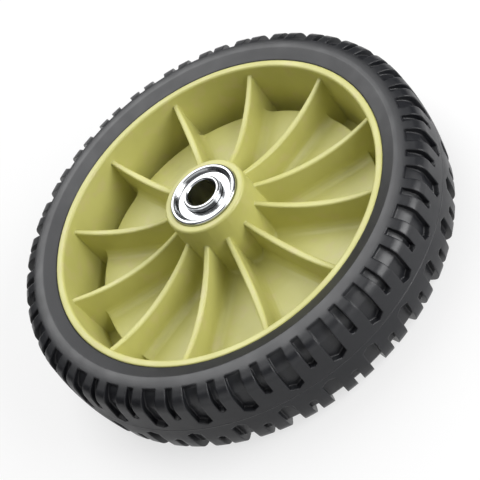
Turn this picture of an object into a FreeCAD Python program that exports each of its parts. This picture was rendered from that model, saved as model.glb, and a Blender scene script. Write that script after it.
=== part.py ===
import FreeCAD, Part
import os
from math import atan2, cos, radians, sin, sqrt
from FreeCAD import Vector

# Lawn mower wheel: a ribbed one-piece hub and rim, a solid rubber tyre and two shielded ball bearings.
# Millimetres. The wheel lies on its rear side with the axle's line along +Z and its front side up.
# The origin is on the axle's line, on the surface that the tyre lies on.

# Rim and tyre, the driving sizes
rim_edge_d = 143.0
tyre_section_height = 17.5
tyre_width = 38.8
tread_offset = 0.9
rim_recess = 1.9
tyre_seat_gap = 0.1

# Tyre side and shoulder
bead_drop = 2.1
sidewall_slope_width = 5.4
side_crest_width = 1.4
slot_run_in = 7.6
shoulder_edge_height = 5.2
shoulder_edge_drop = 1.3
shoulder_bulge = 1.0
crown_edge_inset = 6.3
crown_drop = 0.9

# Tread slots, a wide and a narrow one in each pitch on each side
slot_pitches = 30
slot_depth = 2.3
slot_step = 2.0
slot_bulge = 0.5
slot_phase = 0.76
wide_slot_width = 5.9
wide_slot_end = 3.9
wide_slot_tip = 2.4
narrow_slot_width = 2.95
narrow_slot_end = 8.0
narrow_slot_tip = 7.4
cut_over = 3.0

# Rim wall and the ridge that keys the tyre
rim_wall = 3.0
rim_wall_draft = 0.7
rim_outer_round = 0.4
rim_inner_round = 1.0
ridge_height = 2.0
ridge_width = 10.0
ridge_flank = 1.0

# Stepped web between hub and rim
web = 2.8
disc_depth = 21.0
groove_width = 6.9
groove_draft = 0.6
rear_recess = 2.3

# Hub boss
hub_stand_out = 6.6
hub_lip_wall = 3.0
hub_seat_round = 0.4
hub_lip_round = 1.0
hub_draft = 1.1
hub_root_round = 2.0
hub_shoulder = 1.7
bearing_seat_gap = 0.04

# Ribs
rib_count = 12
rib_edge = 2.5
rib_end = 1.8
rib_draft = 0.5
rib_edge_round = 0.6
rib_root_round = 3.5
rib_hub_drop = 1.5
rib_rim_drop = 3.6
rib_sag = 5.8
rear_rib_inset = 1.2
root_steps = 4

# Ball bearings
bearing_od = 28.575
bearing_width = 9.525
bore_share = 0.42
sleeve_share = 0.235
race_share = 0.375
axle_gap = 0.1
sleeve_stand_out = 1.1
race_stand_out = 1.3
race_lip = 1.0
race_chamfer = 0.5
wall_hollow = 0.7
raceway_depth = 0.55
ball_count = 7
ball_gap = 0.05
cage_gap = 0.5
cage_end_gap = 0.35
cage_prong = 0.7
shield_thickness = 0.5
shield_recess = 1.8
inner_shield_recess = 0.3
shield_edge = 0.5
shield_gap = 0.05
sleeve_gap = 0.25
rest_gap = 0.4

# Radii and heights that follow from the driving sizes
rim_r = rim_edge_d / 2
tyre_r = rim_r + tyre_section_height
tyre_bore_r = rim_r + tyre_seat_gap
mid_z = tyre_width / 2 + tread_offset
front_half = tyre_width - mid_z
rear_half = mid_z
rim_front_z = tyre_width - rim_recess
rim_rear_z = rim_recess
rim_inner_r = rim_r - rim_wall
groove_outer_r = rim_inner_r - rim_wall_draft
disc_r = rim_inner_r - groove_width
groove_inner_r = disc_r + groove_draft
disc_front_z = rim_front_z - disc_depth
disc_rear_z = disc_front_z - web
groove_rear_z = rim_rear_z + rear_recess
groove_front_z = groove_rear_z + web
hub_front_z = rim_front_z + hub_stand_out
front_lip_z = hub_front_z + race_stand_out
rear_lip_z = rest_gap + sleeve_stand_out
hub_rear_z = rear_lip_z + race_stand_out
bearing_r = bearing_od / 2
seat_r = bearing_r + bearing_seat_gap
seat_depth = bearing_width - race_stand_out + bearing_seat_gap
hub_bore_r = seat_r - hub_shoulder
hub_top_r = seat_r + hub_lip_wall
hub_base_r = hub_top_r + hub_draft
axle_d = bearing_od * bore_share
bore_r = (axle_d + axle_gap) / 2
bearing_section = bearing_r - bore_r
sleeve_wall = bearing_section * sleeve_share
race_wall = bearing_section * race_share
sleeve_r = bore_r + sleeve_wall
land_r = bearing_r - race_wall
pitch_r = (sleeve_r + land_r) / 2
raceway_r = (land_r - sleeve_r) / 2 + raceway_depth
ball_r = raceway_r - ball_gap
shield_top = -shield_recess
shield_bottom = shield_top - shield_thickness
inner_shield_bottom = -bearing_width + inner_shield_recess
inner_shield_top = inner_shield_bottom + shield_thickness
ball_z = (shield_bottom + inner_shield_top) / 2


def point(r, z):
    return Vector(r, 0, z)


def outline(start, steps):
    """Closed face in the XZ plane: a step is a corner (r, z), or (via, end) for an arc."""
    edges = []
    here = start
    for step in steps + [start]:
        if isinstance(step[0], tuple):
            via, end = step
            edges.append(Part.Arc(point(*here), point(*via), point(*end)).toShape())
        else:
            end = step
            edges.append(Part.LineSegment(point(*here), point(*end)).toShape())
        here = end
    return Part.Face(Part.Wire(edges))


def turned(start, steps, angle=360):
    return outline(start, steps).revolve(Vector(0, 0, 0), Vector(0, 0, 1), angle)


def polygon_face(corners):
    return Part.Face(Part.makePolygon(corners + corners[:1]))


def turn(shape, degrees):
    copy = shape.copy()
    copy.rotate(Vector(0, 0, 0), Vector(0, 0, 1), degrees)
    return copy


def across_mid_plane(shape):
    return shape.mirror(Vector(0, 0, mid_z), Vector(0, 0, 1))


def full_circle(sector, count):
    """The whole ring from one of its equal sectors."""
    copies = [turn(sector, number * 360 / count) for number in range(1, count)]
    return sector.fuse(copies).removeSplitter()


# Tyre
crest_inner_r = rim_r + sidewall_slope_width
crest_outer_r = crest_inner_r + side_crest_width
slot_start_r = tyre_r - slot_run_in
shoulder_edge_r = tyre_r - shoulder_edge_height
crown_edge_r = tyre_r - crown_drop
shoulder_via_r = (shoulder_edge_r + crown_edge_r) / 2 + shoulder_bulge * sqrt(0.5)
shoulder_via_drop = (shoulder_edge_drop + crown_edge_inset) / 2 - shoulder_bulge * sqrt(0.5)


def key_steps(radius, gap):
    """Ridge flanks and top on a cylinder, from the front side to the rear side."""
    foot = ridge_width / 2 + gap
    top = foot - ridge_flank
    corners = [(0, foot), (ridge_height, top), (ridge_height, -top), (0, -foot)]
    return [(radius + rise, mid_z + axial) for rise, axial in corners]


def bow(run, drop):
    """Half way point of an arc that starts level and falls by the drop over the run."""
    radius = (run ** 2 + drop ** 2) / (2 * drop)
    half = atan2(run, radius - drop) / 2
    return radius * sin(half), radius * (1 - cos(half))


def tyre_body(angle):
    """Tyre without its slots: places are radii and drops from the side's crest, the same on both sides."""
    block_run, block_fall = bow(shoulder_edge_r - crest_outer_r, shoulder_edge_drop)
    places = {
        "bead": (tyre_bore_r, bead_drop),
        "crest_inner": (crest_inner_r, 0),
        "crest_outer": (crest_outer_r, 0),
        "block": (crest_outer_r + block_run, block_fall),
        "shoulder_edge": (shoulder_edge_r, shoulder_edge_drop),
        "shoulder": (shoulder_via_r, shoulder_via_drop),
        "crown_edge": (crown_edge_r, crown_edge_inset),
    }
    front = {name: (r, tyre_width - drop) for name, (r, drop) in places.items()}
    rear = {name: (r, drop) for name, (r, drop) in places.items()}
    steps = [
        front["crest_inner"],
        front["crest_outer"],
        (front["block"], front["shoulder_edge"]),
        (front["shoulder"], front["crown_edge"]),
        ((tyre_r, mid_z), rear["crown_edge"]),
        (rear["shoulder"], rear["shoulder_edge"]),
        (rear["block"], rear["crest_outer"]),
        rear["crest_inner"],
        rear["bead"],
    ]
    return turned(front["bead"], steps + key_steps(tyre_bore_r, tyre_seat_gap)[::-1], angle)


def slot_cutter(width, end, tip, half):
    """A slot above the mid-plane, on a side of the given half width; its floor follows the shoulder."""
    side_z = mid_z + half
    outer_z = side_z + cut_over
    plan = [
        (width / 2, outer_z),
        (width / 2, mid_z + end),
        (0, mid_z + tip),
        (-width / 2, mid_z + end),
        (-width / 2, outer_z),
    ]
    foot_r = slot_start_r - cut_over
    channel = polygon_face([Vector(foot_r, y, z) for y, z in plan])
    channel = channel.extrude(Vector(tyre_r + 2 * cut_over - foot_r, 0, 0))
    floor_edge_r = crown_edge_r - slot_depth
    floor_via_r = (slot_start_r + floor_edge_r) / 2 + slot_bulge * sqrt(0.5)
    floor_via_z = side_z - (slot_step + crown_edge_inset) / 2 + slot_bulge * sqrt(0.5)
    above_floor = turned(
        (slot_start_r, outer_z),
        [
            (slot_start_r, side_z - slot_step),
            ((floor_via_r, floor_via_z), (floor_edge_r, side_z - crown_edge_inset)),
            (tyre_r - slot_depth, mid_z),
            (tyre_r + cut_over, mid_z),
            (tyre_r + cut_over, outer_z),
        ],
        360 / slot_pitches,
    )
    return channel.common(turn(above_floor, -180 / slot_pitches))


def slot_pair(half):
    """The wide slot of one pitch, and the narrow slot half a pitch further on."""
    wide = slot_cutter(wide_slot_width, wide_slot_end, wide_slot_tip, half)
    narrow = slot_cutter(narrow_slot_width, narrow_slot_end, narrow_slot_tip, half)
    return [wide, turn(narrow, 180 / slot_pitches)]


def tyre():
    """One pitch of the tread between the middles of two blocks, repeated round the wheel."""
    pitch = 360 / slot_pitches
    front = slot_pair(front_half)
    rear = [turn(across_mid_plane(slot), pitch / 2) for slot in slot_pair(rear_half)]
    cutters = front + [rear[0], turn(rear[1], -pitch)]
    sector = turn(tyre_body(pitch), -pitch / 4).cut(cutters)
    return turn(full_circle(sector, slot_pitches), slot_phase)


# Hub and rim moulding
def corner(r, z, before, after, size):
    """Steps of a quarter round at a square corner; before and after are unit steps into and out of it."""
    bow = size * (1 - sqrt(0.5))
    first = (r - before[0] * size, z - before[1] * size)
    via = (r + (after[0] - before[0]) * bow, z + (after[1] - before[1]) * bow)
    return [first, (via, (r + after[0] * size, z + after[1] * size))]


def moulding_body(angle):
    """Hub boss, stepped web and rim as one turned section."""
    front_seat_z = hub_front_z - seat_depth
    rear_seat_z = hub_rear_z + seat_depth
    root = hub_root_round
    out, back, up, down = (1, 0), (-1, 0), (0, 1), (0, -1)
    front = (
        [(seat_r, front_seat_z)]
        + corner(seat_r, hub_front_z, up, out, hub_seat_round)
        + corner(hub_top_r, hub_front_z, out, down, hub_lip_round)
        + corner(hub_base_r, disc_front_z, down, out, root)
        + [(disc_r, disc_front_z), (groove_inner_r, groove_front_z), (groove_outer_r, groove_front_z)]
        + corner(rim_inner_r, rim_front_z, up, out, rim_inner_round)
        + corner(rim_r, rim_front_z, out, down, rim_outer_round)
    )
    rear = (
        corner(rim_r, rim_rear_z, down, back, rim_outer_round)
        + corner(rim_inner_r, rim_rear_z, back, up, rim_inner_round)
        + [(rim_inner_r, groove_rear_z), (groove_inner_r - web, groove_rear_z), (disc_r - web, disc_rear_z)]
        + corner(hub_base_r, disc_rear_z, back, down, root)
        + corner(hub_top_r, hub_rear_z, down, back, hub_lip_round)
        + corner(seat_r, hub_rear_z, back, up, hub_seat_round)
        + [(seat_r, rear_seat_z), (hub_bore_r, rear_seat_z)]
    )
    return turned((hub_bore_r, front_seat_z), front + key_steps(rim_r, 0) + rear, angle)


rib_inner_r = seat_r + hub_lip_wall / 2
rib_outer_r = rim_r - rim_wall / 2
rib_root_z = groove_front_z - web / 2


def rib_plan(z, spread):
    """Outline of a rib along +X in plan: thickest half way, and wider by the spread on each side."""
    middle = Vector((rib_inner_r + rib_outer_r) / 2, rib_edge / 2 + spread, z)
    hub_end = Vector(rib_inner_r, rib_end / 2 + spread, z)
    rim_end = Vector(rib_outer_r, rib_end / 2 + spread, z)
    left = [Vector(p.x, -p.y, p.z) for p in (hub_end, middle, rim_end)]
    edges = [
        Part.Arc(hub_end, middle, rim_end).toShape(),
        Part.LineSegment(rim_end, left[2]).toShape(),
        Part.Arc(left[2], left[1], left[0]).toShape(),
        Part.LineSegment(left[0], hub_end).toShape(),
    ]
    return Part.Wire(edges)


def draft_at(z):
    return rib_draft * (rim_front_z - z) / (rim_front_z - rib_root_z)


def rib_blank():
    """A drafted rib from the groove's floor up to the rim's height."""
    return Part.makeLoft([rib_plan(rib_root_z, rib_draft), rib_plan(rim_front_z, 0)], True, True)


def rib_root():
    """Hollow round along both sides of a rib, where it stands on the disc."""
    plans = [rib_plan(disc_front_z - web / 2, draft_at(disc_front_z) + rib_root_round)]
    for step in range(root_steps + 1):
        angle = radians(90 * step / root_steps)
        z = disc_front_z + rib_root_round * (1 - cos(angle))
        plans.append(rib_plan(z, draft_at(z) + rib_root_round * (1 - sin(angle))))
    return Part.makeLoft(plans, True, True).common(Part.makeCylinder(disc_r, hub_front_z))


def side_cut(shape, start, steps):
    """The part of a rib inside its side view."""
    side = outline(start, steps)
    depth = rib_edge + 2 * rib_draft
    side.translate(Vector(0, -depth, 0))
    return shape.common(side.extrude(Vector(0, 2 * depth, 0)))


def front_rib():
    step_r = disc_r - web / 2
    hub_z = rim_front_z - rib_hub_drop
    rim_z = rim_front_z - rib_rim_drop
    sag = ((rib_inner_r + rib_outer_r) / 2, (hub_z + rim_z) / 2 - rib_sag)
    disc_z = disc_front_z - web / 2
    steps = [
        (step_r, disc_z),
        (step_r, rib_root_z),
        (rib_outer_r, rib_root_z),
        (rib_outer_r, rim_z),
        (sag, (rib_inner_r, hub_z)),
    ]
    rib = side_cut(rib_blank(), (rib_inner_r, disc_z), steps)
    top = max(rib.Faces, key=lambda face: face.CenterOfMass.z)
    long_edges = [edge for edge in top.Edges if edge.Length > rib_edge + rib_end]
    return rib.makeFillet(rib_edge_round, long_edges)


def rear_rib():
    edge_z = hub_rear_z + rear_rib_inset
    disc_z = disc_rear_z + web / 2
    blank = Part.makeLoft([rib_plan(edge_z, 0), rib_plan(disc_z, rib_draft / 2)], True, True)
    outer_r = disc_r - web / 2
    steps = [(outer_r, edge_z), (outer_r, disc_z), (rib_inner_r, disc_z)]
    return side_cut(blank, (rib_inner_r, edge_z), steps)


def hub_moulding():
    """One rib and its share of the web and rim, repeated round the wheel."""
    pitch = 360 / rib_count
    sector = turn(moulding_body(pitch), -pitch / 2).fuse([rib_root(), front_rib(), rear_rib()])
    return full_circle(sector, rib_count)


# Ball bearing, with its outer face at z = 0 and its inner end below
def raceway(r, side):
    """Arc of a ball groove seen from a land of radius r; side is 1 on the outer race, -1 on the inner."""
    half = sqrt(raceway_r ** 2 - (r - pitch_r) ** 2)
    return half, pitch_r + side * raceway_r


def outer_race():
    half, deepest_r = raceway(land_r, 1)
    seat = land_r + shield_edge
    lip_r = bearing_r - race_lip
    lip_foot_r = lip_r - race_lip
    lip_bow = race_lip * (1 - sqrt(0.5))
    wall_via = ((land_r + lip_foot_r) / 2, shield_top * wall_hollow)
    steps = [
        (bearing_r, -race_lip),
        ((bearing_r - lip_bow, -lip_bow), (lip_r, 0)),
        ((lip_foot_r + lip_bow, -lip_bow / 2), (lip_foot_r, -race_lip / 2)),
        (wall_via, (land_r, shield_top + shield_gap)),
        (seat, shield_top + shield_gap),
        (seat, shield_bottom - shield_gap),
        (land_r, shield_bottom - shield_gap),
        (land_r, ball_z + half),
        ((deepest_r, ball_z), (land_r, ball_z - half)),
        (land_r, inner_shield_top + shield_gap),
        (seat, inner_shield_top + shield_gap),
        (seat, -bearing_width),
        (bearing_r - race_chamfer, -bearing_width),
    ]
    return turned((bearing_r, -bearing_width + race_chamfer), steps)


def inner_race():
    half, deepest_r = raceway(sleeve_r, -1)
    tip = sleeve_stand_out
    steps = [
        (sleeve_r, ball_z - half),
        ((deepest_r, ball_z), (sleeve_r, ball_z + half)),
        (sleeve_r, tip - sleeve_wall / 2),
        ((sleeve_r - sleeve_wall / 2, tip), (bore_r, tip - sleeve_wall / 2)),
        (bore_r, -bearing_width),
    ]
    return turned((sleeve_r, -bearing_width), steps)


def washer(inner_r, outer_r, low, high):
    return turned((inner_r, low), [(outer_r, low), (outer_r, high), (inner_r, high)])


def ball(number):
    angle = radians(number * 360 / ball_count)
    return Part.makeSphere(ball_r, Vector(pitch_r * cos(angle), pitch_r * sin(angle), ball_z))


def cage():
    """Crown cage: a ring with a round pocket for each ball, open towards the outer face."""
    base_z = inner_shield_top + cage_end_gap
    ring = washer(sleeve_r + cage_gap, land_r - cage_gap, base_z, ball_z + cage_prong)
    pockets = []
    for number in range(ball_count):
        angle = radians(number * 360 / ball_count)
        centre = Vector(pitch_r * cos(angle), pitch_r * sin(angle), ball_z)
        pockets.append(Part.makeSphere(raceway_r, centre))
    return ring.cut(pockets)


def bearing():
    """The pieces of one bearing by name."""
    shield_r = land_r + shield_edge - shield_gap
    pieces = {
        "outer_race": outer_race(),
        "inner_race": inner_race(),
        "cage": cage(),
        "dust_shield": washer(sleeve_r + sleeve_gap, shield_r, shield_bottom, shield_top),
        "inner_shield": washer(sleeve_r + sleeve_gap, shield_r, inner_shield_bottom, inner_shield_top),
    }
    for number in range(ball_count):
        pieces[f"ball_{number + 1}"] = ball(number)
    return pieces


def front_placed(shape):
    copy = shape.copy()
    copy.translate(Vector(0, 0, front_lip_z))
    return copy


def rear_placed(shape):
    copy = shape.copy()
    copy.rotate(Vector(0, 0, 0), Vector(1, 0, 0), 180)
    copy.translate(Vector(0, 0, rear_lip_z))
    return copy


def wheel():
    nodes = {"tyre": tyre(), "hub_moulding": hub_moulding()}
    for piece, shape in bearing().items():
        nodes[f"front_{piece}"] = front_placed(shape)
        nodes[f"rear_{piece}"] = rear_placed(shape)
    return nodes


os.makedirs("parts", exist_ok=True)
for node, shape in wheel().items():
    shape.exportStep(f"parts/{node}.step")
    print(node, len(shape.Solids), shape.isValid(), round(shape.Volume, 1))
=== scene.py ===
import math

import bpy
from mathutils import Matrix, Vector


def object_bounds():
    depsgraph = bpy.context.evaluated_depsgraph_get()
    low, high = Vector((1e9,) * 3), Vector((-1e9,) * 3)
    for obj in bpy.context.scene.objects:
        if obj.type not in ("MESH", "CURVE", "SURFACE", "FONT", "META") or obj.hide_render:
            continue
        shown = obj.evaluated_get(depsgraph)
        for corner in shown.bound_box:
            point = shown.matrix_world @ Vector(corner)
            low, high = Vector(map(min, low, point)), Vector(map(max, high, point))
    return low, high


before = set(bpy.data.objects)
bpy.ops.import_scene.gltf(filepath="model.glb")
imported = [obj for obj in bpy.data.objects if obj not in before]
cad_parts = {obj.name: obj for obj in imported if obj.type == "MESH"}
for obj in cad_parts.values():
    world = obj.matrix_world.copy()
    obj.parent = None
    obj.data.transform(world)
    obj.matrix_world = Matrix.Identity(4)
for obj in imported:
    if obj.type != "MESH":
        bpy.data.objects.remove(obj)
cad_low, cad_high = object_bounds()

# Camera, in metres and degrees in the wheel's own frame
CAMERA_AIM = Vector((-0.00795, -0.02375, 0.0369))
CAMERA_DISTANCE = 0.5422
CAMERA_AZIMUTH = -17.15
CAMERA_ELEVATION = 44.37
CAMERA_ROLL = -40.5
CAMERA_LENS_MM = 108.3
CAMERA_CLIP_START = 0.01

# Colours
PLASTIC_DARK = (0.495, 0.48, 0.14)
PLASTIC_LIGHT = (0.57, 0.555, 0.184)
PLASTIC_FLECK = (0.56, 0.49, 0.23)
RUBBER_DARK = (0.0075, 0.008, 0.0102)
RUBBER_LIGHT = (0.0118, 0.0126, 0.0152)
PLATE_STEEL = (0.52, 0.53, 0.54)
CAGE_STEEL = (0.55, 0.55, 0.56)
BALL_STEEL = (0.78, 0.79, 0.80)
WHITE = (1.0, 1.0, 1.0)

# Faces that meet at less than this angle are shaded as one
SMOOTH_ANGLE = math.radians(30)
# Radii over which the shading of edges is softened
PLASTIC_EDGE = 0.001
RUBBER_EDGE = 0.0009
EDGE_SAMPLES = 6

# The range that most of a noise lies in
NOISE_LOW = 0.3
NOISE_HIGH = 0.7

# Blender's ring waves lie pi / (10 * scale) apart
WAVE_FACTOR = 10
SWIRL_SPACING = 0.004
TURNING_SPACING = 0.000349

# The mould's parting line on the tread: its height, and half its width
MOULD_LINE_Z = 0.0203
MOULD_LINE_HALF = 0.0004

# Sockets of a colour Mix node, which has several of the same name
MIX_FACTOR = 0
MIX_FIRST = 6
MIX_SECOND = 7
MIX_RESULT = 2

# The floor's half width, and how much of it shows plain white; the rest keeps the shadow
FLOOR_HALF = 4.0
FLOOR_WHITE = 0.7

# The grey of the light from the sky, by the height of its direction
SKY_STOPS = ((0.0, 0.085), (0.35, 0.12), (0.8, 0.45))

# Steps round a curved card, and the cards' edges, each a radius and a height
CARD_STEPS = 24
DARK_CARD_EDGES = ((1.0, 0.532), (1.0, 2.05))
LOW_CARD_EDGES = ((1.5, 0.0), (1.5, 0.974))
GROUND_CARD_EDGES = ((0.092, 0.0004), (0.4, 0.0004))


def grey(level):
    return (level, level, level)


def opaque(colour):
    return (*colour, 1.0)


def blank_material(name):
    """A new node material, its node tree and its shader."""
    material = bpy.data.materials.new(name)
    material.use_nodes = True
    return material, material.node_tree, material.node_tree.nodes["Principled BSDF"]


def node(tree, kind, inputs=(), **settings):
    """A new node; inputs are pairs of a socket and a value or another node's output."""
    made = tree.nodes.new(kind)
    for setting, value in settings.items():
        setattr(made, setting, value)
    for socket, value in inputs:
        if isinstance(value, bpy.types.NodeSocket):
            tree.links.new(value, made.inputs[socket])
        else:
            made.inputs[socket].default_value = value
    return made


def wire(tree, shader, **sockets):
    """Links outputs to the shader's sockets, whose names have _ for a space."""
    for socket, output in sockets.items():
        tree.links.new(output, shader.inputs[socket.replace("_", " ")])


def fix(shader, **sockets):
    """Sets values on the shader's sockets, whose names have _ for a space."""
    for socket, value in sockets.items():
        shader.inputs[socket.replace("_", " ")].default_value = value


def maths(tree, operation, *values):
    return node(tree, "ShaderNodeMath", enumerate(values), operation=operation).outputs[0]


def object_place(tree):
    return node(tree, "ShaderNodeTexCoord").outputs["Object"]


def noise(tree, place, scale, detail=2.0):
    inputs = [("Vector", place), ("Scale", scale), ("Detail", detail)]
    return node(tree, "ShaderNodeTexNoise", inputs).outputs["Fac"]


def tones(tree, factor, stops):
    """Colours picked by a factor; stops are pairs of a place and a colour."""
    ramp = node(tree, "ShaderNodeValToRGB", [("Fac", factor)])
    elements = ramp.color_ramp.elements
    while len(elements) < len(stops):
        elements.new(0.5)
    for element, (place, colour) in zip(elements, stops):
        element.position = place
        element.color = opaque(colour)
    return ramp.outputs["Color"]


def roughness(tree, place, scale, smooth, rough):
    """A roughness that wanders between two values."""
    stops = [(NOISE_LOW, grey(smooth)), (NOISE_HIGH, grey(rough))]
    return tones(tree, noise(tree, place, scale), stops)


def bump(tree, height, strength, distance, below=None):
    """Normals with a relief, over the normals of the layer below it."""
    inputs = [("Height", height), ("Strength", strength), ("Distance", distance)]
    if below is not None:
        inputs.append(("Normal", below))
    return node(tree, "ShaderNodeBump", inputs).outputs["Normal"]


def rounded(tree, radius):
    """Normals that soften the edges of a moulded piece."""
    inputs = [("Radius", radius)]
    return node(tree, "ShaderNodeBevel", inputs, samples=EDGE_SAMPLES).outputs["Normal"]


def rings(tree, place, spacing, distortion=0.0):
    """Waves round the axle's line, a given distance apart."""
    scale = math.pi / (WAVE_FACTOR * spacing)
    inputs = [("Vector", place), ("Scale", scale), ("Distortion", distortion)]
    wave = node(tree, "ShaderNodeTexWave", inputs, wave_type="RINGS", rings_direction="Z")
    return wave.outputs["Fac"]


def mould_line(tree, place):
    """The low ridge that the mould's two halves leave round the middle of the tread."""
    height = node(tree, "ShaderNodeSeparateXYZ", [("Vector", place)]).outputs["Z"]
    apart = maths(tree, "ABSOLUTE", maths(tree, "SUBTRACT", height, MOULD_LINE_Z))
    inputs = [("Value", apart), ("From Min", 0.0), ("From Max", MOULD_LINE_HALF)]
    inputs += [("To Min", 1.0), ("To Max", 0.0)]
    ridge = node(tree, "ShaderNodeMapRange", inputs, interpolation_type="SMOOTHSTEP")
    return ridge.outputs["Result"]


def hub_plastic():
    """Olive plastic with clouds and paler flecks, soft unevenness, flow marks and a fine grain."""
    material, tree, shader = blank_material("hub_plastic_finish")
    place = object_place(tree)
    cloud = noise(tree, place, scale=30.0, detail=4.0)
    plain = tones(tree, cloud, [(NOISE_LOW, PLASTIC_DARK), (NOISE_HIGH, PLASTIC_LIGHT)])
    specks = noise(tree, place, scale=160.0, detail=3.0)
    share = tones(tree, specks, [(0.54, grey(0.0)), (0.70, grey(0.45))])
    inputs = [(MIX_FACTOR, share), (MIX_FIRST, plain), (MIX_SECOND, opaque(PLASTIC_FLECK))]
    colour = node(tree, "ShaderNodeMix", inputs, data_type="RGBA").outputs[MIX_RESULT]
    dull = roughness(tree, place, scale=90.0, smooth=0.42, rough=0.54)
    edges = rounded(tree, PLASTIC_EDGE)
    wavy = noise(tree, place, scale=70.0, detail=1.0)
    soft = bump(tree, wavy, strength=0.2, distance=0.0006, below=edges)
    flow = rings(tree, place, SWIRL_SPACING, distortion=3.0)
    swirl = bump(tree, flow, strength=0.1, distance=0.0002, below=soft)
    fine = noise(tree, place, scale=2600.0)
    grain = bump(tree, fine, strength=0.1, distance=0.00005, below=swirl)
    fix(shader, Specular_IOR_Level=0.9)
    wire(tree, shader, Base_Color=colour, Roughness=dull, Normal=grain)
    return material


def tyre_rubber():
    """Black rubber with the mould's parting line and a fine grain."""
    material, tree, shader = blank_material("tyre_rubber_finish")
    place = object_place(tree)
    cloud = noise(tree, place, scale=45.0, detail=4.0)
    colour = tones(tree, cloud, [(NOISE_LOW, RUBBER_DARK), (0.75, RUBBER_LIGHT)])
    dull = roughness(tree, place, scale=120.0, smooth=0.30, rough=0.42)
    edges = rounded(tree, RUBBER_EDGE)
    flash = bump(tree, mould_line(tree, place), strength=0.8, distance=0.00025, below=edges)
    fine = noise(tree, place, scale=1500.0, detail=3.0)
    grain = bump(tree, fine, strength=0.2, distance=0.0001, below=flash)
    fix(shader, Specular_IOR_Level=0.53)
    wire(tree, shader, Base_Color=colour, Roughness=dull, Normal=grain)
    return material


def bright_steel(name, colour, smooth, rough):
    """Turned or polished steel, with very faint turning marks."""
    material, tree, shader = blank_material(name)
    place = object_place(tree)
    dull = roughness(tree, place, scale=700.0, smooth=smooth, rough=rough)
    turned = bump(tree, rings(tree, place, TURNING_SPACING), strength=0.03, distance=0.00002)
    fix(shader, Base_Color=opaque(colour), Metallic=1.0)
    wire(tree, shader, Roughness=dull, Normal=turned)
    return material


def dress(names, material):
    """Gives CAD nodes a material and smooth shading."""
    for name in names:
        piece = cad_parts[name]
        piece.data.materials.clear()
        piece.data.materials.append(material)
        piece.data.shade_smooth()
        piece.data.set_sharp_from_angle(angle=SMOOTH_ANGLE)


def nodes_of(word):
    return [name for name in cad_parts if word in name]


def dress_wheel():
    dress(["hub_moulding"], hub_plastic())
    dress(["tyre"], tyre_rubber())
    plate = bright_steel("bearing_plate_finish", PLATE_STEEL, smooth=0.14, rough=0.24)
    dress(nodes_of("race") + nodes_of("shield"), plate)
    dress(nodes_of("cage"), bright_steel("cage_finish", CAGE_STEEL, smooth=0.25, rough=0.35))
    dress(nodes_of("ball"), bright_steel("ball_finish", BALL_STEEL, smooth=0.05, rough=0.09))


def camera_matrix():
    azimuth = math.radians(CAMERA_AZIMUTH)
    elevation = math.radians(CAMERA_ELEVATION)
    level = math.cos(elevation)
    back = Vector((math.sin(azimuth) * level, -math.cos(azimuth) * level, math.sin(elevation)))
    upright = (-back).to_track_quat("-Z", "Y").to_matrix().to_4x4()
    roll = Matrix.Rotation(math.radians(CAMERA_ROLL), 4, "Z")
    return Matrix.Translation(CAMERA_AIM + back * CAMERA_DISTANCE) @ upright @ roll


def add_camera():
    data = bpy.data.cameras.new("camera")
    data.lens = CAMERA_LENS_MM
    data.clip_start = CAMERA_CLIP_START
    camera = bpy.data.objects.new("camera", data)
    camera.matrix_world = camera_matrix()
    bpy.context.collection.objects.link(camera)
    bpy.context.scene.camera = camera


def add_area_light(name, azimuth, elevation, distance, width, height, watts):
    """A flat lamp that faces the wheel; azimuth is counted from +X about the axle's line."""
    turn, rise = math.radians(azimuth), math.radians(elevation)
    level = math.cos(rise)
    offset = Vector((math.cos(turn) * level, math.sin(turn) * level, math.sin(rise))) * distance
    data = bpy.data.lights.new(name, "AREA")
    data.shape = "RECTANGLE"
    data.size = width
    data.size_y = height
    data.energy = watts
    lamp = bpy.data.objects.new(name, data)
    lamp.location = Vector((0.0, 0.0, cad_high[2])) + offset
    lamp.rotation_mode = "QUATERNION"
    lamp.rotation_quaternion = (-offset).to_track_quat("-Z", "Y")
    bpy.context.collection.objects.link(lamp)


def seen(tree):
    """1 for what the camera, metal or glass shows, 0 for light on its way to a surface."""
    rays = node(tree, "ShaderNodeLightPath").outputs
    shown = maths(tree, "MAXIMUM", rays["Is Camera Ray"], rays["Is Glossy Ray"])
    return maths(tree, "MAXIMUM", shown, rays["Is Transmission Ray"])


def mixed(tree, factor, first, second):
    """The output of one shader node mixed with another's."""
    inputs = [("Fac", factor), (1, first.outputs[0]), (2, second.outputs[0])]
    return node(tree, "ShaderNodeMixShader", inputs).outputs[0]


def add_stage(name, points, faces):
    """A new mesh object that isn't part of the wheel."""
    mesh = bpy.data.meshes.new(name)
    mesh.from_pydata(points, [], faces)
    made = bpy.data.objects.new(name, mesh)
    bpy.context.collection.objects.link(made)
    return made


def add_floor():
    """A matt floor that shows mostly white, and a soft shadow."""
    low, high = -FLOOR_HALF, FLOOR_HALF
    corners = [(low, low, 0), (high, low, 0), (high, high, 0), (low, high, 0)]
    floor = add_stage("floor", corners, [(0, 1, 2, 3)])
    material, tree, shader = blank_material("floor_finish")
    fix(shader, Base_Color=opaque(grey(0.9)), Roughness=0.9, Specular_IOR_Level=0.1)
    white = node(tree, "ShaderNodeEmission", [("Color", opaque(WHITE))])
    part = maths(tree, "MULTIPLY", seen(tree), FLOOR_WHITE)
    wire(tree, tree.nodes["Material Output"], Surface=mixed(tree, part, shader, white))
    floor.data.materials.append(material)


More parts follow.
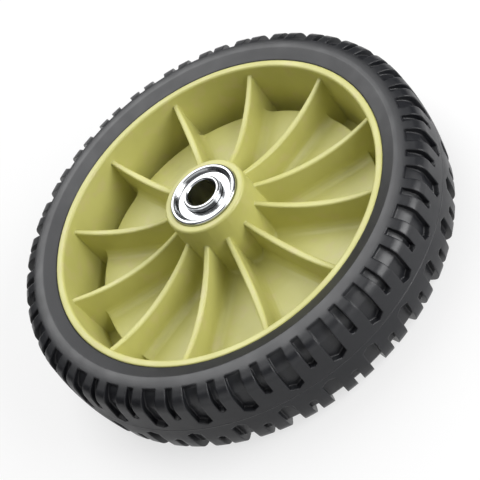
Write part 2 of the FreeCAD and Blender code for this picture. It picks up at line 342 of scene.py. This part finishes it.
def add_card(name, middle, half_angle, edges, level):
    """A curved grey card about the axle's line, which only reflections show.

    Its middle is counted as the camera's azimuth; edges are two pairs of a radius and a height.
    """
    points = []
    for step in range(CARD_STEPS + 1):
        turn = math.radians(middle - half_angle + 2 * half_angle * step / CARD_STEPS)
        for radius, height in edges:
            points.append((radius * math.sin(turn), -radius * math.cos(turn), height))
    faces = [(2 * step, 2 * step + 1, 2 * step + 3, 2 * step + 2) for step in range(CARD_STEPS)]
    card = add_stage(name, points, faces)
    card.visible_camera = False
    card.visible_diffuse = False
    card.visible_shadow = False
    material, tree, shader = blank_material(name + "_finish")
    fix(shader, Base_Color=opaque(grey(level)), Roughness=0.9, Specular_IOR_Level=0.0)
    card.data.materials.append(material)


def add_world():
    """White where it is seen; the light that it gives is dimmer, most of it from above."""
    world = bpy.data.worlds.new("studio")
    world.use_nodes = True
    tree = world.node_tree
    direction = node(tree, "ShaderNodeTexCoord").outputs["Generated"]
    height = node(tree, "ShaderNodeSeparateXYZ", [("Vector", direction)]).outputs["Z"]
    dim = tree.nodes["Background"]
    wire(tree, dim, Color=tones(tree, height, [(place, grey(level)) for place, level in SKY_STOPS]))
    white = node(tree, "ShaderNodeBackground", [("Color", opaque(WHITE))])
    wire(tree, tree.nodes["World Output"], Surface=mixed(tree, seen(tree), dim, white))
    bpy.context.scene.world = world


dress_wheel()
add_camera()
add_floor()
add_card("dark_card", CAMERA_AZIMUTH, half_angle=110.0, edges=DARK_CARD_EDGES, level=0.25)
add_card("low_card", CAMERA_AZIMUTH + 180.0, half_angle=110.0, edges=LOW_CARD_EDGES, level=0.02)
add_card("ground_card", CAMERA_AZIMUTH, half_angle=120.0, edges=GROUND_CARD_EDGES, level=0.65)
add_world()
add_area_light("top_light", azimuth=76.0, elevation=55.0, distance=1.05,
               width=0.7, height=1.35, watts=9.0)
add_area_light("key_light", azimuth=-54.0, elevation=26.0, distance=0.85,
               width=0.6, height=0.6, watts=6.7)
bpy.context.scene.view_settings.view_transform = "Standard"
